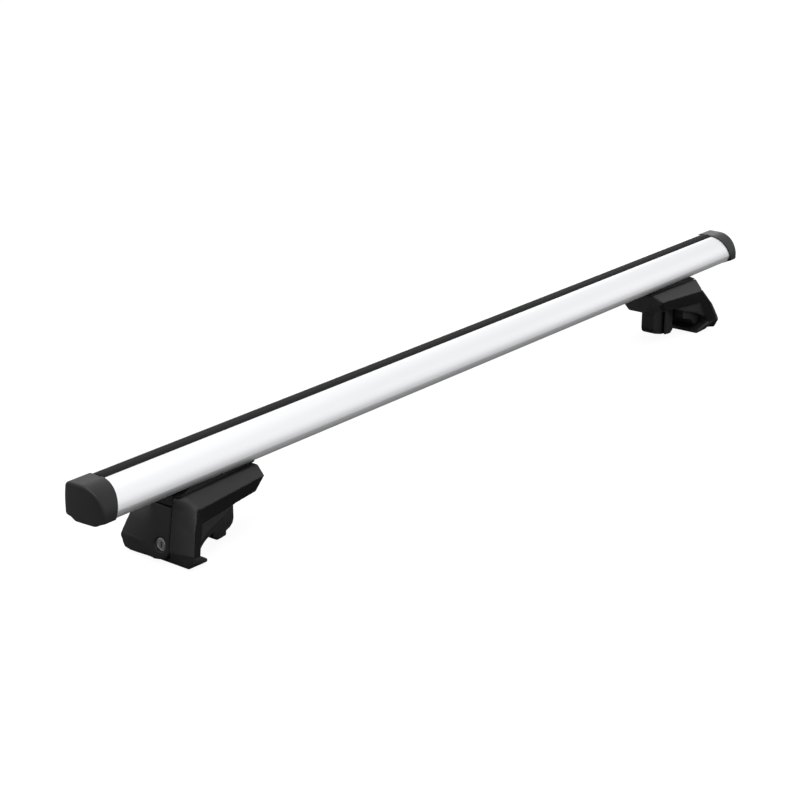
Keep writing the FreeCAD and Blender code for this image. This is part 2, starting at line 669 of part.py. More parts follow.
def make_lock_barrel():
    """The lock's barrel with its key slot, set a little into the cover."""
    barrel = rod_u(LOCK_R, LOCK_FRONT - LOCK_LONG, LOCK_FRONT, LOCK_V, LOCK_Z)
    key = block(LOCK_FRONT - 3.0, BIG, LOCK_V - 0.8, LOCK_V + 0.8, LOCK_Z - 3.2, LOCK_Z + 3.2)
    return barrel.cut(key).fuse(rod_u(2.2, CAM_U, LOCK_FRONT - LOCK_LONG, LOCK_V, LOCK_Z))


def make_lock_cam():
    """The flat cam on the barrel's back end; it points up, clear of the keeper, until the key turns it."""
    hub = rod_u(4.0, CAM_U, CAM_U + CAM_T, LOCK_V, LOCK_Z)
    arm = block(CAM_U, CAM_U + CAM_T, LOCK_V - 2.6, LOCK_V + 2.6, LOCK_Z, LOCK_Z + CAM_R)
    arm = arm.common(rod_u(CAM_R, 0.0, BIG, LOCK_V, LOCK_Z))
    return hub.fuse(arm).cut(rod_u(2.2, 0.0, BIG, LOCK_V, LOCK_Z))


def make_jaw():
    """The clamping jaw: a block in the arm's channel that reaches down to a claw, with set-back cheeks."""
    top = CHANNEL_TOP - SLIDE
    outline = [(JAW_IN, top), (JAW_IN, 16.0), (JAW_IN + 2.0, 12.2), (JAW_IN + 6.0, 9.0), (JAW_IN + 18.0, 6.2),
               (JAW_OUT - 4.6, 4.9), (JAW_OUT + 1.6, 9.4), (JAW_OUT, 17.5), (JAW_OUT, top)]
    jaw = prism_uz(outline, -JAW_W, JAW_W)
    step = JAW_IN + 18.6
    plan = [(JAW_IN, -PLATE_HALF), (JAW_IN, PLATE_HALF), (step, PLATE_HALF + 3.0), (step, JAW_W - 1.6),
            (step + 2.4, JAW_W), (BIG, JAW_W), (BIG, -JAW_W), (step + 2.4, -JAW_W), (step, 1.6 - JAW_W),
            (step, -PLATE_HALF - 3.0)]
    jaw = jaw.common(prism_uv(plan, 0.0, BIG))
    for s in (-1, 1):
        low, high = sorted((s * (PLATE_HALF + 3.0), s * (JAW_W - 2.2)))
        jaw = jaw.cut(block(step - 1.0, step + 5.0, low, high, 0.0, BIG))
    jaw = jaw.cut(rod_u(SCREW_R + 0.25, -BIG, BIG, 0.0, SCREW_Z))
    half = NUT_M8_AF / 2 + 0.1
    jaw = jaw.cut(block(NUT_U - 0.1, NUT_U + NUT_M8 + 0.1, -half, half, SCREW_Z - half, BIG))
    return jaw


def make_jaw_nut():
    half = NUT_M8_AF / 2
    nut = block(NUT_U, NUT_U + NUT_M8, -half, half, SCREW_Z - half, SCREW_Z + half)
    return nut.cut(rod_u(SCREW_R + FIT, -BIG, BIG, 0.0, SCREW_Z))


def make_jaw_pad():
    """The rubber facing of the jaw, on the side that meets the rail."""
    outline = [(JAW_OUT, 17.5), (JAW_OUT, 33.0), (JAW_OUT + 1.4, 32.4), (JAW_OUT + 1.4, 18.0), (JAW_OUT + 2.8, 10.6),
               (JAW_OUT + 1.6, 9.4)]
    return prism_uz(outline, 3.0 - JAW_W, JAW_W - 3.0)


def make_clamp_screw():
    """The long clamping screw: its head under the cover, its thread through the jaw's nut."""
    head = rod_u(HEAD_R, HEAD_U, HEAD_U + HEAD_H, 0.0, SCREW_Z)
    corners = [math.radians(60.0 * k) for k in range(6)]
    key = 3.46
    socket = prism_vz([(key * math.cos(a), SCREW_Z + key * math.sin(a)) for a in corners], HEAD_U + 3.5, BIG)
    shank = rod_u(SCREW_R, CHANNEL_IN + 6.0, HEAD_U, 0.0, SCREW_Z)
    return head.fuse(shank).cut(socket)


def make_washer():
    ring = rod_u(HEAD_R + 0.8, WALL_OUT, WALL_OUT + WASHER_T, 0.0, SCREW_Z)
    return ring.cut(rod_u(SCREW_R + 0.1, -BIG, BIG, 0.0, SCREW_Z))


def save(name, shapes):
    if not isinstance(shapes, list):
        shapes = [shapes]
    solids = []
    for shape in shapes:
        solids = solids + shape.Solids
    for solid in solids:
        if not solid.isValid():
            print("not valid:", name)
    whole = solids[0] if len(solids) == 1 else Part.makeCompound(solids)
    box = whole.BoundBox
    print(name, len(solids), round(whole.Volume), [round(n, 2) for n in (box.XMin, box.YMin, box.ZMin)],
          [round(n, 2) for n in (box.XMax, box.YMax, box.ZMax)])
    whole.exportStep("parts/" + name + ".step")


def save_both(name, shapes, place, other):
    """The same piece at each end: put in its place on the left, then turned or mirrored for the right."""
    if not isinstance(shapes, list):
        shapes = [shapes]
    shapes = [place(shape) for shape in shapes]
    save(name + "_left", shapes)
    save(name + "_right", [other(shape) for shape in shapes])


save("crossbar_extrusion", make_bar())
save("top_slot_strip", make_strip())
ENDS = [("end_lid", make_lid()), ("end_plug", make_plug()), ("lid_hinge_pin", make_pin()),
        ("plug_screws", make_plug_screws())]
for name, shapes in ENDS:
    save_both(name, shapes, at_end, mirrored)
FORM = foot_form()
FEET = [("foot_housing", make_housing(FORM)), ("saddle_pad", make_saddle()), ("slot_bolts", make_bolts()),
        ("slot_bolt_nuts", make_bolt_nuts()), ("rail_seat_pad", make_seat_pad()), ("foot_cover", make_cover(FORM)),
        ("lock_barrel", make_lock_barrel()), ("lock_cam", make_lock_cam()),
        ("lock_keeper", keeper(0.0)), ("clamp_jaw", make_jaw()),
        ("jaw_nut", make_jaw_nut()), ("jaw_pad", make_jaw_pad()), ("clamp_screw", make_clamp_screw()),
        ("thrust_washer", make_washer())]
for name, shapes in FEET:
    save_both(name, shapes, at_foot, turned)
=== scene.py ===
"""Roof rack crossbar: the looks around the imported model. The frame is in metres, X along the bar, Z up
from the feet's undersides.

Shapes are worked out in millimetres. At an end, u points outward along the bar, v goes across it and z is
height. For a lid, u = 0 is the bar's end and v is Y. For the pieces of a foot, u = 0 is the foot's own
middle, and the right foot is the left one turned half a turn about Z, so v is Y on the left and -Y on the
right.
"""
import json
import math

import bmesh
import bpy
import numpy as np
from mathutils import Matrix, Vector


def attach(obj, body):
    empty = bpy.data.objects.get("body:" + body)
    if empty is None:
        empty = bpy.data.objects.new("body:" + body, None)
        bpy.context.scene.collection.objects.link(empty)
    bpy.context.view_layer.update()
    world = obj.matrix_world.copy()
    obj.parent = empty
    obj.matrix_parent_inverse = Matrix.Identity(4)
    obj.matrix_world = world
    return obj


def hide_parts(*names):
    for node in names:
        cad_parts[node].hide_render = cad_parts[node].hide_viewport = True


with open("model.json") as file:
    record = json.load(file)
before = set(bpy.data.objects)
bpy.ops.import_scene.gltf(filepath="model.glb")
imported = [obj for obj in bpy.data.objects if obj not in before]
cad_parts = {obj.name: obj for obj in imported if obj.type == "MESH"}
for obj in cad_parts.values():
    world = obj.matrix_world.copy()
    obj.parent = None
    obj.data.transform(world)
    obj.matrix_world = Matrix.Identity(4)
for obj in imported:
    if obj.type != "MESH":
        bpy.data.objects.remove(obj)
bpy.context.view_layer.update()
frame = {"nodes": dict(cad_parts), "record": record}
NODES = frame["nodes"]
SLOT_OF = {part["node"]: part["material_slot"] for part in frame["record"]["subparts"]}
BODY_OF = {node: body for body, nodes in frame["record"]["behaviour"]["bodies"].items() for node in nodes}
SCENE = bpy.context.scene
MM = 0.001

# Driving sizes in millimetres: bar and its slots
LENGTH = 1200.0
BAR_TOP = 109.0
BAR_BOTTOM = 72.2
BAR_HALF = 24.2
WIDEST_Z = 84.0
REAR_Z = 88.6
ARC_R = 27.3
ARC_V = 3.0
SEAT_DEEP = 1.8
SLOT_OPEN = 11.0
SLOT_WIDE = 18.0
SLOT_DEEP = 8.0
SLOT_LIP = 2.2
UNDER_OPEN = 11.0
UNDER_WIDE = 20.0
UNDER_LIP = 3.0

# Driving sizes: strip
STRIP_FRONT = 0.9
STRIP_WIDE = 16.4
STRIP_RISE = 2.0
STRIP_GAP = 0.1

# Driving sizes: lid
RIM_IN = 28.4
RIM_LEAN = 0.32
LID_PROUD = 1.2
LID_WALL = 2.2
BULGE_V = 14.0
BULGE_R = 220.0
HINGE_HALF = 6.8

# Driving sizes: foot and lock
FOOT_INSET = 160.0
FACE_U = 57.4
FACE_TOP = 69.2
TOP_FALL = 0.015
LOCK_FACE = 63.4
LOCK_V = -2.0
LOCK_Z = 18.3
LOCK_R = 6.8
FIT = 0.05

# Places that follow from them
ARC_Z = BAR_TOP - ARC_R + 0.1
SEAT_Z = BAR_TOP - SEAT_DEEP
SEAT_REAR = STRIP_FRONT + STRIP_WIDE + STRIP_GAP
SLOT_V = STRIP_FRONT + STRIP_WIDE / 2 + STRIP_GAP
CHAMBER_TOP = SEAT_Z - SLOT_LIP
CHAMBER_LOW = CHAMBER_TOP - SLOT_DEEP
UNDER_Z = BAR_BOTTOM + UNDER_LIP
UNDER_TOP = UNDER_Z + SLOT_DEEP
FOOT_X = LENGTH / 2 - FOOT_INSET


# Materials

def new_material(name):
    """A material with its node tree and its main shader."""
    material = bpy.data.materials.new(name)
    material.use_nodes = True
    return material, material.node_tree, material.node_tree.nodes["Principled BSDF"]


def object_coords(tree, scale=(1.0, 1.0, 1.0)):
    """Object coordinates through a Mapping node that sets the pattern's size."""
    coords = tree.nodes.new("ShaderNodeTexCoord")
    mapping = tree.nodes.new("ShaderNodeMapping")
    mapping.inputs["Scale"].default_value = scale
    tree.links.new(coords.outputs["Object"], mapping.inputs["Vector"])
    return mapping.outputs["Vector"]


def noise(tree, vector, scale, detail, roughness=0.6):
    """A cloud pattern between 0 and 1."""
    node = tree.nodes.new("ShaderNodeTexNoise")
    node.inputs["Scale"].default_value = scale
    node.inputs["Detail"].default_value = detail
    node.inputs["Roughness"].default_value = roughness
    tree.links.new(vector, node.inputs["Vector"])
    return node.outputs["Fac"]


def blend_colours(tree, value, low, high):
    """Blends from one colour to another as the value goes from 0.3 to 0.7."""
    node = tree.nodes.new("ShaderNodeValToRGB")
    for element, position, colour in zip(node.color_ramp.elements, (0.3, 0.7), (low, high)):
        element.position = position
        element.color = (*colour, 1.0)
    tree.links.new(value, node.inputs["Fac"])
    return node.outputs["Color"]


def spread(tree, value, low, high, start=0.0, stop=1.0):
    """Runs from low to high as the value goes from start to stop."""
    node = tree.nodes.new("ShaderNodeMapRange")
    node.inputs["From Min"].default_value = start
    node.inputs["From Max"].default_value = stop
    node.inputs["To Min"].default_value = low
    node.inputs["To Max"].default_value = high
    tree.links.new(value, node.inputs["Value"])
    return node.outputs["Result"]


def bump(tree, shader, height, strength, distance):
    """Raises the shader's surface by the height, up to a distance in metres."""
    node = tree.nodes.new("ShaderNodeBump")
    node.inputs["Strength"].default_value = strength
    node.inputs["Distance"].default_value = distance
    tree.links.new(height, node.inputs["Height"])
    tree.links.new(node.outputs["Normal"], shader.inputs["Normal"])


def moulded_plastic(name, grey, rough, grain, depth, specular):
    """Black plastic or rubber from a mould: a fine leather-like grain, slow changes of tone and gloss."""
    material, tree, shader = new_material(name)
    vector = object_coords(tree)
    slow = noise(tree, vector, scale=45.0, detail=3.0)
    fine = noise(tree, vector, scale=grain, detail=5.0, roughness=0.7)
    tone = blend_colours(tree, slow, (grey[0],) * 3, (grey[1],) * 3)
    tree.links.new(tone, shader.inputs["Base Color"])
    tree.links.new(spread(tree, slow, *rough), shader.inputs["Roughness"])
    shader.inputs["Specular IOR Level"].default_value = specular
    bump(tree, shader, fine, strength=0.35, distance=depth)
    return material


def satin_aluminium(name):
    """Anodised aluminium: fine drawn lines along the bar and a soft sheen."""
    material, tree, shader = new_material(name)
    drawn = noise(tree, object_coords(tree, (4.0, 2200.0, 2200.0)), scale=1.0, detail=3.0, roughness=0.5)
    slow = noise(tree, object_coords(tree, (2.0, 30.0, 30.0)), scale=1.0, detail=3.0, roughness=0.5)
    tone = blend_colours(tree, slow, (0.83, 0.835, 0.85), (0.87, 0.875, 0.885))
    tree.links.new(tone, shader.inputs["Base Color"])
    tree.links.new(spread(tree, drawn, 0.42, 0.50), shader.inputs["Roughness"])
    shader.inputs["Metallic"].default_value = 1.0
    bump(tree, shader, drawn, strength=0.05, distance=0.0001)
    return material


def plated_steel(name, low, high, rough):
    """Plated steel: bright, with faint mottling and fine scratches."""
    material, tree, shader = new_material(name)
    vector = object_coords(tree)
    slow = noise(tree, vector, scale=160.0, detail=4.0)
    fine = noise(tree, vector, scale=2400.0, detail=3.0)
    tree.links.new(blend_colours(tree, slow, low, high), shader.inputs["Base Color"])
    tree.links.new(spread(tree, fine, *rough), shader.inputs["Roughness"])
    shader.inputs["Metallic"].default_value = 1.0
    bump(tree, shader, fine, strength=0.1, distance=0.00005)
    return material


FINISHES = {
    "satin_aluminium": satin_aluminium("anodised aluminium"),
    "strip_rubber": moulded_plastic(
        "strip rubber", grey=(0.008, 0.012), rough=(0.75, 0.85), grain=2600.0, depth=0.00005, specular=0.2),
    "black_plastic": moulded_plastic(
        "black plastic", grey=(0.016, 0.020), rough=(0.40, 0.48), grain=3000.0, depth=0.00006, specular=0.3),
    "cover_plastic": moulded_plastic(
        "cover plastic", grey=(0.012, 0.016), rough=(0.38, 0.46), grain=3000.0, depth=0.00006, specular=0.3),
    "jaw_plastic": moulded_plastic(
        "jaw plastic", grey=(0.016, 0.020), rough=(0.40, 0.48), grain=2600.0, depth=0.00006, specular=0.3),
    "pad_rubber": moulded_plastic(
        "pad rubber", grey=(0.012, 0.017), rough=(0.65, 0.75), grain=2200.0, depth=0.00008, specular=0.3),
    "plain_steel": plated_steel(
        "plated steel", low=(0.56, 0.57, 0.58), high=(0.66, 0.67, 0.68), rough=(0.30, 0.42)),
    "lock_metal": plated_steel(
        "lock face", low=(0.36, 0.36, 0.37), high=(0.44, 0.44, 0.45), rough=(0.26, 0.36)),
}
# Matt black for the housing's belt: rougher and less glossy than the black plastic, and its darker colour is
# painted shade under the housing's edge.
MATT_BLACK_PAINTED_SHADE = moulded_plastic(
    "matt black plastic with painted shade", grey=(0.013, 0.016), rough=(0.80, 0.90), grain=2400.0, depth=0.00008,
    specular=0.08)
for node, slot in SLOT_OF.items():
    NODES[node].data.materials.clear()
    NODES[node].data.materials.append(FINISHES[slot])


# Outlines and meshes

def arc(a, b, c, count):
    """Points of the circle through a, b and c: centre + radius (cos t, sin t), t from a past b to c."""
    a, b, c = (np.array(p, float) for p in (a, b, c))
    rows = 2.0 * np.array([b - a, c - a])
    centre = np.linalg.solve(rows, [b @ b - a @ a, c @ c - a @ a])
    angle = [math.atan2(*(p - centre)[::-1]) for p in (a, b, c)]
    turn = (angle[2] - angle[0]) % (2 * math.pi)
    if (angle[1] - angle[0]) % (2 * math.pi) > turn:
        turn -= 2 * math.pi
    t = angle[0] + turn * np.linspace(0.0, 1.0, count)
    return centre + np.linalg.norm(a - centre) * np.stack([np.cos(t), np.sin(t)], axis=1)


def outline(*runs):
    """One closed run of points from several, without repeats."""
    points = np.concatenate([np.atleast_2d(np.array(run, float)) for run in runs])
    step = np.linalg.norm(points - np.roll(points, 1, axis=0), axis=1)
    return points[step > 1e-6]


def eased(points, radius):
    """Rounds the corners of a closed outline that turn more than 25 degrees: each corner p gives way to
    the parabola (1-t)^2 q + 2t(1-t) p + t^2 r, with q and r on its two sides, at most a radius from p."""
    ahead = np.roll(points, -1, axis=0) - points
    behind = np.roll(points, 1, axis=0) - points
    long_ahead, long_behind = np.linalg.norm(ahead, axis=1), np.linalg.norm(behind, axis=1)
    cosine = (ahead * behind).sum(1) / (long_ahead * long_behind)
    turn = 180.0 - np.degrees(np.arccos(np.clip(cosine, -1, 1)))
    back = np.where(turn > 25.0, np.minimum(radius, 0.45 * np.minimum(long_ahead, long_behind)), 0.0)
    q = points + behind / long_behind[:, None] * back[:, None]
    r = points + ahead / long_ahead[:, None] * back[:, None]
    t = np.linspace(0.0, 1.0, 5)[None, :, None]
    curve = (1 - t) ** 2 * q[:, None] + 2 * t * (1 - t) * points[:, None] + t ** 2 * r[:, None]
    return outline(curve.reshape(-1, 2))


def normals_of(section):
    """Outward normals of a closed outline: its tangent, by central differences, turned a quarter."""
    along = np.roll(section, -1, axis=0) - np.roll(section, 1, axis=0)
    out = np.stack([along[:, 1], -along[:, 0]], axis=1)
    out /= np.linalg.norm(out, axis=1)[:, None]
    return out * np.sign((out * (section - section.mean(0))).sum())


def row_face(row, count):
    """One face over a whole row of points."""
    return list(range(row * count, (row + 1) * count))


def grid_faces(rows, count):
    """The quads between each closed row of points and the next."""
    i, j = np.meshgrid(np.arange(rows - 1), np.arange(count), indexing="ij")
    k = (j + 1) % count
    quads = np.stack([i * count + j, i * count + k, (i + 1) * count + k, (i + 1) * count + j], axis=-1)
    return quads.reshape(-1, 4)


def closed_faces(rows, count):
    """The quads of a grid of closed rows, with a face over its first row and one over its last."""
    return grid_faces(rows, count).tolist() + [row_face(0, count), row_face(rows - 1, count)]


def merge(mesh, turn_outwards=False):
    """Joins the points of a mesh that coincide, and turns its faces outwards if asked."""
    work = bmesh.new()
    work.from_mesh(mesh)
    bmesh.ops.remove_doubles(work, verts=work.verts, dist=1e-6)
    if turn_outwards:
        bmesh.ops.recalc_face_normals(work, faces=work.faces)
    work.to_mesh(mesh)
    work.free()


def settle(thing, node):
    """Puts a finished piece on its node's body, in its node's place and finish."""
    SCENE.collection.objects.link(thing)
    slot = SLOT_OF[node]
    thing.data.materials.clear()
    thing.data.materials.append(FINISHES[slot])
    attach(thing, BODY_OF[node])
    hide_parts(node)
    return thing


def piece(name, points, faces, node, sharp=32.0):
    """A piece of points (millimetres) and faces, turned outwards; edges over sharp degrees stay crisp."""
    mesh = bpy.data.meshes.new(name)
    mesh.from_pydata((points * MM).tolist(), [], faces)
    merge(mesh, turn_outwards=True)
    mesh.shade_smooth()
    mesh.set_sharp_from_angle(angle=math.radians(sharp))
    return settle(bpy.data.objects.new(name, mesh), node)


# Bar and strip

def front_arc(v, radius):
    """A point of the bar's front arc, or of one proud of it: z = ARC_Z + sqrt(radius^2 - (v - ARC_V)^2)."""
    return (v, ARC_Z + math.sqrt(radius ** 2 - (v - ARC_V) ** 2))


def under_arc(count):
    """The bar's rounded underside, from beside the slot out to where the bar is widest."""
    return arc((11.8, BAR_BOTTOM), (21.8, 78.3), (BAR_HALF, WIDEST_Z), count)


def tee_slot(middle, opening, width, mouth, lip, end):
    """A T-slot from one edge of its mouth round its chamber to the other; the last three are heights."""
    half = np.array([(opening / 2, mouth), (opening / 2, lip), (width / 2, lip), (width / 2, end)])
    return np.concatenate([half * (-1.0, 1.0), half[::-1]]) + (middle, 0.0)


def swept(section, reach):
    """The section (Y, Z) drawn along X between two ends that lean as the lids' rims do:
    x = reach + RIM_LEAN (BAR_TOP - z)."""
    x = reach + RIM_LEAN * (BAR_TOP - section[:, 1])
    rows = np.linspace(-1.0, 1.0, 5)[:, None] * x
    points = np.stack([rows, *(np.broadcast_to(column, rows.shape) for column in section.T)], axis=-1)
    return points.reshape(-1, 3), closed_faces(len(rows), len(section))


def make_bar():
    """The bar's outline with both T-slots, every lip and slot corner eased, drawn along X."""
    under = under_arc(24)
    section = outline(
        arc((STRIP_FRONT - 0.1, BAR_TOP), front_arc(-16.0, ARC_R), (-BAR_HALF, WIDEST_Z), 60),
        under[::-1] * (-1.0, 1.0),
        tee_slot(0.0, UNDER_OPEN, UNDER_WIDE, BAR_BOTTOM, UNDER_Z, UNDER_TOP),
        under,
        arc((BAR_HALF, REAR_Z), (23.3, 96.0), (21.3, 103.1), 16),
        arc((21.3, 103.1), (20.9, 106.6), (19.6, 108.6), 8),
        [(SEAT_REAR, BAR_TOP), (SEAT_REAR, SEAT_Z)],
        tee_slot(SLOT_V, SLOT_OPEN, SLOT_WIDE, SEAT_Z, CHAMBER_TOP, CHAMBER_LOW)[::-1],
        [(STRIP_FRONT, SEAT_Z), (STRIP_FRONT, BAR_TOP - 0.05)])
    points, faces = swept(eased(section, 0.45), LENGTH / 2 - RIM_IN)
    piece("bar", points, faces, "crossbar_extrusion")


def make_strip():
    """The strip's outline: a front slope, a crown that falls to the rear, z = top - 0.06 (v - 7)^2 / 3.6,
    with two bell-shaped grooves 0.28 deep, and a barbed stem that grips under the slot's lips."""
    v = np.linspace(6.0, 15.4, 27)
    crown = BAR_TOP + STRIP_RISE - 0.06 * (v - 7.0) ** 2 / 3.6
    crown -= 0.28 * sum(np.exp(-((v - middle) / 0.45) ** 2) for middle in (8.6, 12.2))
    front, rear = STRIP_FRONT + STRIP_GAP, SEAT_REAR - STRIP_GAP
    barb, tip = CHAMBER_TOP - STRIP_GAP, CHAMBER_TOP - 3.1
    stem = np.array([(5.4, SEAT_Z), (5.4, barb), (6.7, barb), (3.9, tip), (3.0, tip), (3.0, SEAT_Z)])
    section = outline(
        [(front, SEAT_Z), (front, BAR_TOP + 0.1), (5.1, BAR_TOP + 1.9)], np.stack([v, crown], axis=1),
        [(rear, BAR_TOP + 0.3), (rear, SEAT_Z)],
        stem + (SLOT_V, 0.0), (stem * (-1.0, 1.0))[::-1] + (SLOT_V, 0.0))
    points, faces = swept(eased(section, 0.6), LENGTH / 2 - RIM_IN - 0.4)
    piece("strip", points, faces, "top_slot_strip")


# Lids

def lid_section():
    """The lid's outline: the bar's front arc stood proud, a boxier underside with a lobe, a flat top."""
    front, rear, low, top = -25.5, 25.2, 71.2, 110.2
    runs = [
        arc((2.6, top), front_arc(-16.5, ARC_R + LID_PROUD), (front, 84.4), 40),
        np.linspace((front, 84.4), (front, 78.4), 5),
        arc((front, 78.4), (-24.7, 76.8), (-23.2, 76.0), 6),
        np.linspace((-23.2, 76.0), (-17.0, 73.4), 4),
        arc((-17.0, 73.4), (-14.2, 71.8), (-11.4, low), 5),
        np.linspace((-11.4, low), (-HINGE_HALF, low), 4),
        np.linspace((-HINGE_HALF, low), (HINGE_HALF, low), 9),
        np.linspace((HINGE_HALF, low), (11.4, low), 4),
        arc((11.4, low), (14.6, 72.6), (17.3, 74.2), 5),
        np.linspace((17.3, 74.2), (22.6, 75.2), 4),
        arc((22.6, 75.2), (24.4, 76.4), (rear, 78.6), 6),
        np.linspace((rear, 78.6), (rear, REAR_Z), 6),
        arc((rear, REAR_Z), (24.8, 96.0), (23.8, 103.4), 10),
        arc((23.8, 103.4), (22.0, 108.2), (17.6, top), 10),
        np.linspace((17.6, top), (2.6, top), 12),
    ]
    return np.concatenate([run[:-1] for run in runs])


def bulge(v):
    """The lid's end face, a part of a cylinder with an upright axis: u = -(v - middle)^2 / (2 radius)."""
    return -(v - BULGE_V) ** 2 / (2.0 * BULGE_R)


def make_lid(side, s):
    """The lid's outer skin as a function of (way round the section, way from rim to end). From the leaning
    rim it runs straight out; a quarter round of radius 2.2 turns it into the bulging end face, whose rows
    shrink to its middle. The hinge's place is left out of the underside, and a wall goes on inwards."""
    section = lid_section()
    out = normals_of(section)
    corner, hinge_top = 2.2, 76.0
    middle = (0.0, 90.0)
    skirt = (0.0, 0.03, 0.35, 0.7, 1.0)
    rim = RIM_LEAN * (BAR_TOP - section[:, 1]) - RIM_IN
    end = bulge(section[:, 0])
    stop = np.minimum(-5.0, end - corner - 0.6)
    rows = [(rim + (stop - rim) * f, section) for f in skirt]
    for t in np.radians(np.linspace(0.0, 90.0, 10)):
        rows.append((end - corner + corner * math.sin(t), section - out * corner * (1.0 - math.cos(t))))
    for f in (0.93, 0.8, 0.6, 0.4, 0.2, 0.02):
        face = (section - out * corner - middle) * f + middle
        rows.append((bulge(face[:, 0]), face))
    points = np.concatenate([np.column_stack(row) for row in rows])
    count = len(section)
    faces = grid_faces(len(rows), count)
    hinge = faces[:, 0] < (len(skirt) - 1) * count
    hinge &= np.abs(points[faces][:, :, 1]).max(1) < HINGE_HALF + FIT
    hinge &= points[faces][:, :, 2].max(1) < hinge_top
    faces = faces[~hinge].tolist() + [row_face(len(rows) - 1, count)]
    points[:, 0] = s * (LENGTH / 2 + points[:, 0])
    lid = piece("lid_" + side, points, faces, "end_lid_" + side)
    wall = lid.modifiers.new("wall", "SOLIDIFY")
    wall.thickness = LID_WALL * MM
    wall.offset = -1.0
    wall.use_even_offset = True
    edge = lid.modifiers.new("rim", "BEVEL")
    edge.width = 0.25 * MM
    edge.segments = 2
    edge.limit_method = "ANGLE"
    edge.angle_limit = math.radians(60.0)


# Moulded pieces of the feet

EASE_PASSES = 150
OUTER_U = 40.0


def foot_place(points, s):
    """Points (u, v, z) of a foot from the part's (x, y, z): u = s x - FOOT_X, v = -s y."""
    return np.stack([s * points[:, 0] - FOOT_X, -s * points[:, 1], points[:, 2]], axis=1)


def part_place(points, s):
    """Points (x, y, z) of the part from a foot's (u, v, z): the same half turn, undone."""
    return np.stack([s * (points[:, 0] + FOOT_X), -s * points[:, 1], points[:, 2]], axis=1)


def values_of(rows, name, width, kind=float):
    """One value of every vertex, edge or face of a mesh, as rows of that width."""
    values = np.empty(len(rows) * width, kind)
    rows.foreach_get(name, values)
    return values.reshape(-1, width)


def rebuilt(node, grid):
    """A CAD node's mesh, merged and rebuilt on an even grid."""
    mesh = NODES[node].data.copy()
    merge(mesh)
    rough = bpy.data.objects.new("rough", mesh)
    SCENE.collection.objects.link(rough)
    even = rough.modifiers.new("even", "REMESH")
    even.mode = "VOXEL"
    even.voxel_size = grid * MM
    built = bpy.data.meshes.new_from_object(rough.evaluated_get(bpy.context.evaluated_depsgraph_get()))
    bpy.data.objects.remove(rough)
    return built


def relaxed(points, edges, share, passes):
    """Each point moves a share of the way to the mean of its neighbours, again and again:
    p += share (mean - p) / 2."""
    a, b = edges.T
    count = np.bincount(edges.ravel(), minlength=len(points))[:, None]
    for _ in range(passes):
        total = np.stack([np.bincount(a, column[b], len(points)) + np.bincount(b, column[a], len(points))
                          for column in points.T], axis=1)
        points = points + 0.5 * share[:, None] * (total / count - points)
    return points


def by_line(points, a, b, reach):
    """A weight that falls with the distance d to the straight line from a to b: exp(-(d / reach)^2)."""
    a, b = np.array(a, float), np.array(b, float)
    t = np.clip(((points - a) @ (b - a)) / ((b - a) @ (b - a)), 0.0, 1.0)[:, None]
    return np.exp(-(((points - a - t * (b - a)) ** 2).sum(1)) / reach ** 2)


def housing_ease(points):
    """Weights for large radii at the housing's shoulder and along the break of its outer face, none by the
    cover's seam: by_line along each, times a rise from 0 to 1 in the 4 past |v| = 15.5, for u > OUTER_U."""
    shoulder = (56.0, -16.0, 69.0), (51.0, -33.0, 60.5)
    face_break = (61.0, -18.0, 38.5), (60.5, -33.0, 38.5)
    past_seam = np.clip((np.abs(points[:, 1]) - 15.5) / 4.0, 0.0, 1.0)
    total = by_line(points, *shoulder, reach=8.0) + by_line(points, *face_break, reach=7.0)
    return np.clip(total, 0.0, 1.0) * past_seam * (points[:, 0] > OUTER_U)


def cover_ease(points):
    """Weights for large radii over the two breaks of the cover's face, none by its far edge or its top:
    by_line along each, times a rise from 0 to 1 in the 5 past v = -11 and below z = 55, for u > OUTER_U."""
    level_break = (62.0, -10.0, 38.5), (61.5, 33.0, 38.5)
    upright_break = (59.0, 14.1, 56.0), (65.0, 14.1, 14.0)
    past_edge = np.clip((points[:, 1] + 11.0) / 5.0, 0.0, 1.0)
    below_top = np.clip((55.0 - points[:, 2]) / 5.0, 0.0, 1.0)
    total = by_line(points, *level_break, reach=8.0) + by_line(points, *upright_break, reach=7.0)
    return np.clip(total, 0.0, 1.0) * (past_edge * below_top) * (points[:, 0] > OUTER_U)


def belt(centres, normals):
    """Picks the belt under the housing's edge, whose darker matt black is painted shade: faces of its
    flanks, past
    |v| = 29, that look sideways and whose (u, z) lies in one of four convex cells, to the left of each side in turn."""
    nose, shoulder, leg, toe = (-57.4, 63.1), (45.7, 57.8), (59.0, 38.5), (66.5, 17.7)
    nose_low, crook, knee = (-46.6, 47.4), (-18.5, 44.2), (40.8, 42.6)
    shin, heel = (47.0, 28.3), (53.2, 14.0)
    cells = [(nose, nose_low, crook, shoulder), (crook, knee, shoulder),
             (shoulder, knee, shin, leg), (leg, shin, heel, toe)]
    u, z = centres[:, 0], centres[:, 2]
    picked = np.zeros(len(centres), bool)
    for cell in cells:
        inside = np.ones(len(centres), bool)
        for a, b in zip(cell, cell[1:] + cell[:1]):
            inside &= (b[0] - a[0]) * (z - a[1]) - (b[1] - a[1]) * (u - a[0]) >= 0.0
        picked |= inside
    return picked & (np.abs(centres[:, 1]) > 29.0) & (np.abs(normals[:, 1]) > 0.6)


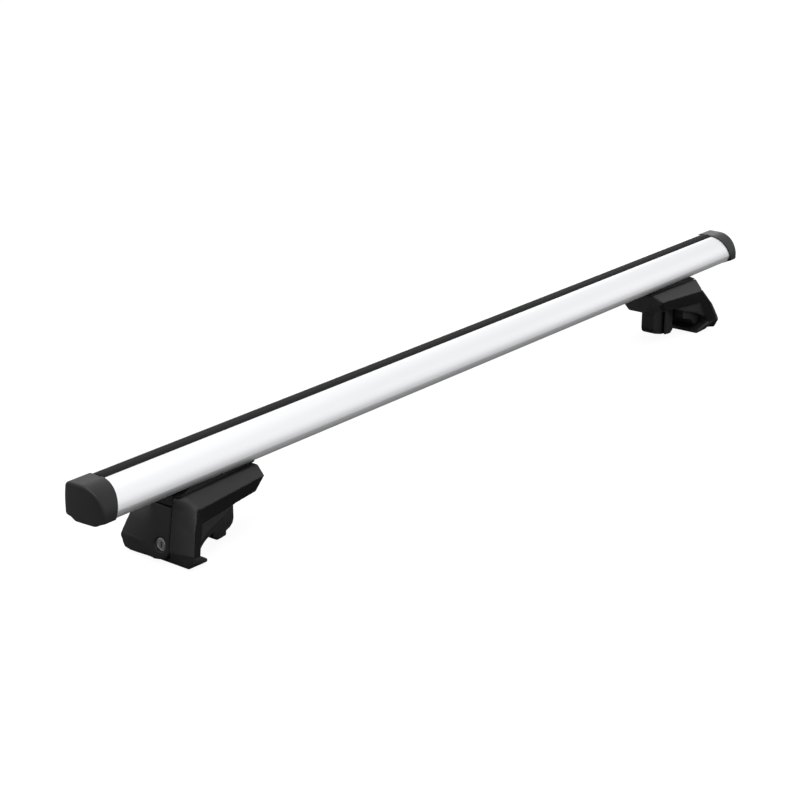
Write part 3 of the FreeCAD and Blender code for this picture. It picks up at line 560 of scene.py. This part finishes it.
def moulded(node, s, grid, passes, ease=None, matt=None):
    """A moulded piece: its solid's mesh, rebuilt on an even grid, is relaxed a few times for small radii,
    and many times where ease gives a weight, for large ones; matt picks the faces of a matt texture whose
    darker colour is painted shade."""
    built = rebuilt(node, grid)
    edges = values_of(built.edges, "vertices", 2, np.int32)
    points = foot_place(values_of(built.vertices, "co", 3) / MM, s)
    points = relaxed(points, edges, np.ones(len(points)), passes)
    if ease:
        points = relaxed(points, edges, ease(points), EASE_PASSES)
    built.vertices.foreach_set("co", (part_place(points, s) * MM).ravel())
    built.name = node
    built.update()
    built.shade_smooth()
    settle(bpy.data.objects.new("moulded_" + node, built), node)
    # Faces picked by matt take the matt black, whose darker colour is painted shade.
    if matt:
        centres = foot_place(values_of(built.polygons, "center", 3) / MM, s)
        picked = matt(centres, values_of(built.polygons, "normal", 3))
        built.materials.append(MATT_BLACK_PAINTED_SHADE)
        built.polygons.foreach_set("material_index", picked.astype(np.int32))


# Saddles and locks

def saddle_pad():
    """The pad as a function of (way along u, way round a section). Its half width grows from the nose and
    rounds in at both ends. The top lies under the bar, z = base + rise(u) (bar(v) - base), where rise
    falls from 1 to 0.1 by a smooth step. Each side has a groove 0.5 deep that leaves a lip."""
    nose, end = -61.8, 56.6
    slim, wide = 14.5, 20.2
    round_from, round_long = 50.0, 7.4
    fall_from, fall_long = 35.0, 16.0
    along = nose + (end - nose) * 0.5 * (1.0 - np.cos(np.linspace(0.0, math.pi, 40)))
    width = np.interp(along, [nose, round_from], [slim, wide])
    width *= np.sqrt(np.clip(1.0 - np.clip((along - round_from) / round_long, 0.0, 1.0) ** 4, 0.0, 1.0))
    width *= 0.86 + 0.14 * np.sqrt(np.clip((along - nose) / 3.0, 0.0, 1.0))
    fall = np.clip((along - fall_from) / fall_long, 0.0, 1.0)
    rise = (1.0 - 0.9 * fall ** 2 * (3.0 - 2.0 * fall))[:, None]
    base = (FACE_TOP + FIT + TOP_FALL * (FACE_U - along))[:, None]
    under = under_arc(40)

    def top(v):
        bar = np.interp(v, under[:, 0], under[:, 1], left=BAR_BOTTOM) - FIT
        return base + rise * (bar - base)

    up = np.linspace(0.0, 1.0, 13)[:-1]
    groove = 0.5 * np.exp(-((up - 0.34) / 0.09) ** 4) + 0.25 * (up > 0.5)
    width = width[:, None]
    side_v = width - groove
    side_z = base + up * (top(width) - base)
    top_v = (width - 0.25) * np.linspace(1.0, -1.0, 25)
    v = np.hstack([side_v, top_v, -side_v[:, ::-1]])
    z = np.hstack([side_z, top(np.abs(top_v)), side_z[:, ::-1]])
    points = np.stack([np.broadcast_to(along[:, None], v.shape), v, z], axis=-1)
    return points.reshape(-1, 3), closed_faces(*v.shape)


def saddle_lip():
    """The saddle's end turned down over the screw's room: a leaning section (u, z), 1.5 thick, along v."""
    section = eased(outline([(57.0, 70.0), (58.45, 60.0), (56.95, 60.0), (55.5, 70.0)]), 0.5)
    v = np.linspace(-13.6, 13.6, 5)[:, None]
    shape = (len(v), len(section))
    u, z = (np.broadcast_to(column, shape) for column in section.T)
    points = np.stack([u, np.broadcast_to(v, shape), z], axis=-1)
    return points.reshape(-1, 3), closed_faces(*shape)


def make_saddle(side, s):
    """The saddle: the pad with its lip."""
    pad, pad_faces = saddle_pad()
    lip, lip_faces = saddle_lip()
    faces = pad_faces + [[len(pad) + index for index in face] for face in lip_faces]
    points = part_place(np.concatenate([pad, lip]), s)
    piece("saddle_" + side, points, faces, "saddle_pad_" + side, sharp=40.0)


def make_barrel(side, s):
    """The lock's face as a height over (radius, angle): a land, a ring groove 0.3 deep, a middle dished by
    0.15 and a key slot 1.9 deep. A quarter round turns the land into the side wall."""
    ring, corner = 5.6, 0.5
    land = LOCK_R - corner
    slot_half_y, slot_half_z, slot_ramp = 0.7, 2.9, 0.16
    wall_end = 55.9
    turn = np.linspace(0.0, 2.0 * math.pi, 144, endpoint=False)
    radius = np.linspace(0.05, land, 70)[:, None]
    y, z = radius * np.cos(turn), radius * np.sin(turn)
    key = np.clip((slot_half_y - np.abs(y)) / slot_ramp + 0.5, 0.0, 1.0)
    key = key * np.clip((slot_half_z - np.abs(z)) / slot_ramp + 0.5, 0.0, 1.0)
    face = LOCK_FACE - 0.3 * np.exp(-((radius - ring) / 0.22) ** 4)
    face -= 0.15 * (radius < ring) * (1.0 - (radius / ring) ** 2)
    t = np.radians(np.linspace(0.0, 90.0, 7))[1:]
    reach = np.concatenate([land + corner * np.sin(t), [LOCK_R, LOCK_R]])[:, None]
    depth = np.concatenate([LOCK_FACE - corner * (1.0 - np.cos(t)), [60.0, wall_end]])[:, None]
    wall_u = np.broadcast_to(depth, (len(depth), len(turn)))
    points = np.concatenate([np.stack([face - 1.9 * key, y, z], axis=-1),
                             np.stack([wall_u, reach * np.cos(turn), reach * np.sin(turn)], axis=-1)])
    faces = closed_faces(*points.shape[:2])
    points = points.reshape(-1, 3) + (0.0, LOCK_V, LOCK_Z)
    piece("barrel_" + side, part_place(points, s), faces, "lock_barrel_" + side, sharp=40.0)


# All the pieces

make_bar()
make_strip()
for side, s in (("left", -1.0), ("right", 1.0)):
    make_lid(side, s)
    moulded("foot_housing_" + side, s, grid=0.9, passes=5, ease=housing_ease, matt=belt)
    moulded("foot_cover_" + side, s, grid=0.6, passes=4, ease=cover_ease)
    moulded("clamp_jaw_" + side, s, grid=0.8, passes=5)
    make_saddle(side, s)
    make_barrel(side, s)


# Floor, light and camera

def make_floor():
    """A pale floor that shows white to the camera and keeps a faint shadow. As a light and in reflections
    its colour darkens towards the bar, from 0.45 to 0.05 metres beside it: a painted shadow beside and under
    the bar."""
    half, drop = 6.0, 0.001
    corners = [(-half, -half, -drop), (half, -half, -drop), (half, half, -drop), (-half, half, -drop)]
    mesh = bpy.data.meshes.new("floor")
    mesh.from_pydata(corners, [], [(0, 1, 2, 3)])
    floor = bpy.data.objects.new("floor", mesh)
    SCENE.collection.objects.link(floor)
    material = bpy.data.materials.new("pale floor")
    material.use_nodes = True
    tree = material.node_tree
    tree.nodes.clear()
    coords = tree.nodes.new("ShaderNodeTexCoord")
    parts = tree.nodes.new("ShaderNodeSeparateXYZ")
    tree.links.new(coords.outputs["Object"], parts.inputs["Vector"])
    away = tree.nodes.new("ShaderNodeMath")
    away.operation = "ABSOLUTE"
    tree.links.new(parts.outputs["Y"], away.inputs[0])
    # Painted shadow: the floor's colour as a light and in reflections darkens towards the bar.
    matt = tree.nodes.new("ShaderNodeBsdfDiffuse")
    tree.links.new(spread(tree, away.outputs[0], 0.34, 0.7, start=0.05, stop=0.45), matt.inputs["Color"])
    glow = tree.nodes.new("ShaderNodeEmission")
    glow.inputs["Strength"].default_value = 0.94
    faint = tree.nodes.new("ShaderNodeBsdfDiffuse")
    faint.inputs["Color"].default_value = (0.2, 0.2, 0.2, 1.0)
    both = tree.nodes.new("ShaderNodeAddShader")
    tree.links.new(glow.outputs[0], both.inputs[0])
    tree.links.new(faint.outputs[0], both.inputs[1])
    path = tree.nodes.new("ShaderNodeLightPath")
    mix = tree.nodes.new("ShaderNodeMixShader")
    tree.links.new(path.outputs["Is Camera Ray"], mix.inputs["Fac"])
    tree.links.new(matt.outputs[0], mix.inputs[1])
    tree.links.new(both.outputs[0], mix.inputs[2])
    out = tree.nodes.new("ShaderNodeOutputMaterial")
    tree.links.new(mix.outputs[0], out.inputs["Surface"])
    mesh.materials.append(material)


def make_world():
    """White to the camera, a little under white in reflections, softer as a light."""
    world = bpy.data.worlds.new("studio")
    SCENE.world = world
    world.use_nodes = True
    tree = world.node_tree
    path = tree.nodes.new("ShaderNodeLightPath")
    unseen = spread(tree, path.outputs["Is Glossy Ray"], 0.2, 0.93)
    level = tree.nodes.new("ShaderNodeMapRange")
    level.inputs["To Max"].default_value = 1.0
    tree.links.new(unseen, level.inputs["To Min"])
    tree.links.new(path.outputs["Is Camera Ray"], level.inputs["Value"])
    back = tree.nodes["Background"]
    back.inputs["Color"].default_value = (1.0, 1.0, 1.0, 1.0)
    tree.links.new(level.outputs["Result"], back.inputs["Strength"])


def softbox(name, place, aim, width, height, power):
    """A rectangular lamp that faces a point; metres and watts."""
    lamp = bpy.data.lights.new(name, "AREA")
    lamp.shape = "RECTANGLE"
    lamp.size = width
    lamp.size_y = height
    lamp.energy = power
    holder = bpy.data.objects.new(name, lamp)
    SCENE.collection.objects.link(holder)
    place = Vector(place)
    way = (Vector(aim) - place).to_track_quat("-Z", "Y")
    holder.matrix_world = Matrix.Translation(place) @ way.to_matrix().to_4x4()


def make_camera():
    """The photograph's view: a focal length of 1896.5 of its 800 pixels, or 85 mm on a 36 mm frame."""
    place = Vector((-1.6938, -1.2438, 0.7731))
    ahead = Vector((0.7387, 0.5853, -0.3343)).normalized()
    right = Vector((0.621, -0.7838, 0.0)).normalized()
    up = right.cross(ahead).normalized()
    right = ahead.cross(up).normalized()
    focal_pixels, frame_pixels, sensor = 1896.5, 800.0, 36.0
    data = bpy.data.cameras.new("camera")
    data.lens = focal_pixels * sensor / frame_pixels
    data.sensor_width = sensor
    data.clip_start = 0.05
    camera = bpy.data.objects.new("camera", data)
    SCENE.collection.objects.link(camera)
    turn = Matrix((right, up, -ahead)).transposed().to_4x4()
    camera.matrix_world = Matrix.Translation(place) @ turn
    SCENE.camera = camera


make_floor()
make_world()
softbox("top light", (-1.2, -0.4, 6.0), aim=(0.0, 0.0, 0.05), width=5.0, height=5.0, power=240.0)
softbox("side light", (5.0, -4.5, 1.9), aim=(0.0, 0.0, 0.1), width=5.0, height=3.6, power=16.0)
softbox("back light", (5.0, 3.6, 1.8), aim=(0.0, 0.0, 0.1), width=3.0, height=1.6, power=25.0)
make_camera()
SCENE.view_settings.view_transform = "Standard"
